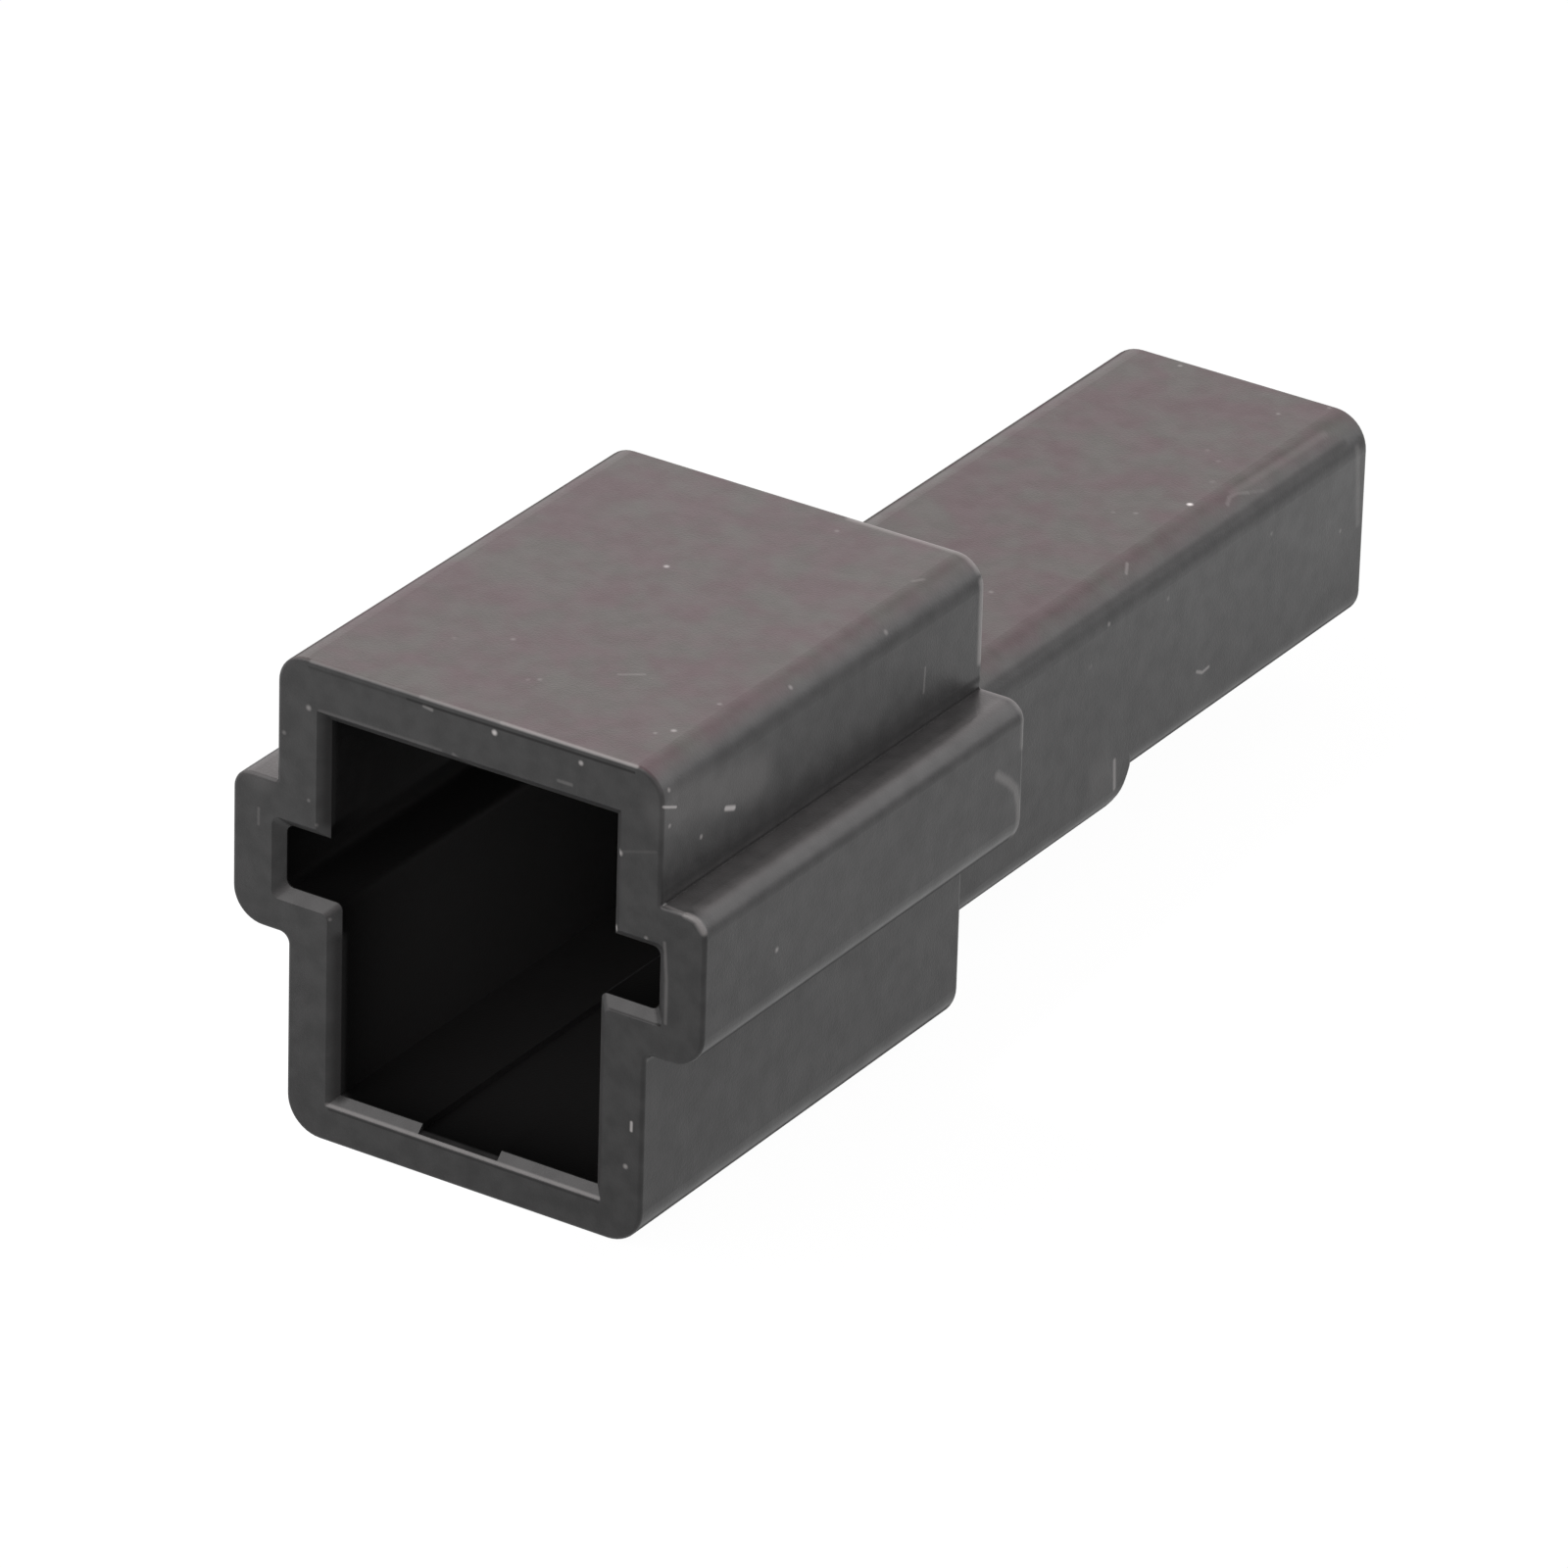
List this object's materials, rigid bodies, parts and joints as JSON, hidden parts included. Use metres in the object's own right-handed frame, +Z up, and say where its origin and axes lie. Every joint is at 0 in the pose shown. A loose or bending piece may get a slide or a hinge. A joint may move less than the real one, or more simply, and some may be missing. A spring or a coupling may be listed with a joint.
{
  "type": "two-pin connector plug",
  "caption": "Moulded inline connector housing: square shroud with side key ribs round two blade contacts, and a slim rear block that takes crimped wires.",
  "frame": {"origin": "centre of the mating face: on the plane of the mouth, midway between the sides and midway between the shroud's underside and top", "axes": "+Y from the mouth to the wire end, +Z up towards the latch side of the shroud, +X across the two terminals, to the right when looking into the mouth"},
  "size_m": [0.0154, 0.0401, 0.0146],
  "materials": {
    "housing_nylon": "black semi-matte moulded nylon with a fine grain",
    "terminal_metal": "tin-plated brass, satin"
  },
  "bodies": {
    "root": {"housing": "housing_nylon", "terminal_left": "terminal_metal", "terminal_right": "terminal_metal"}
  },
  "joints": []
}
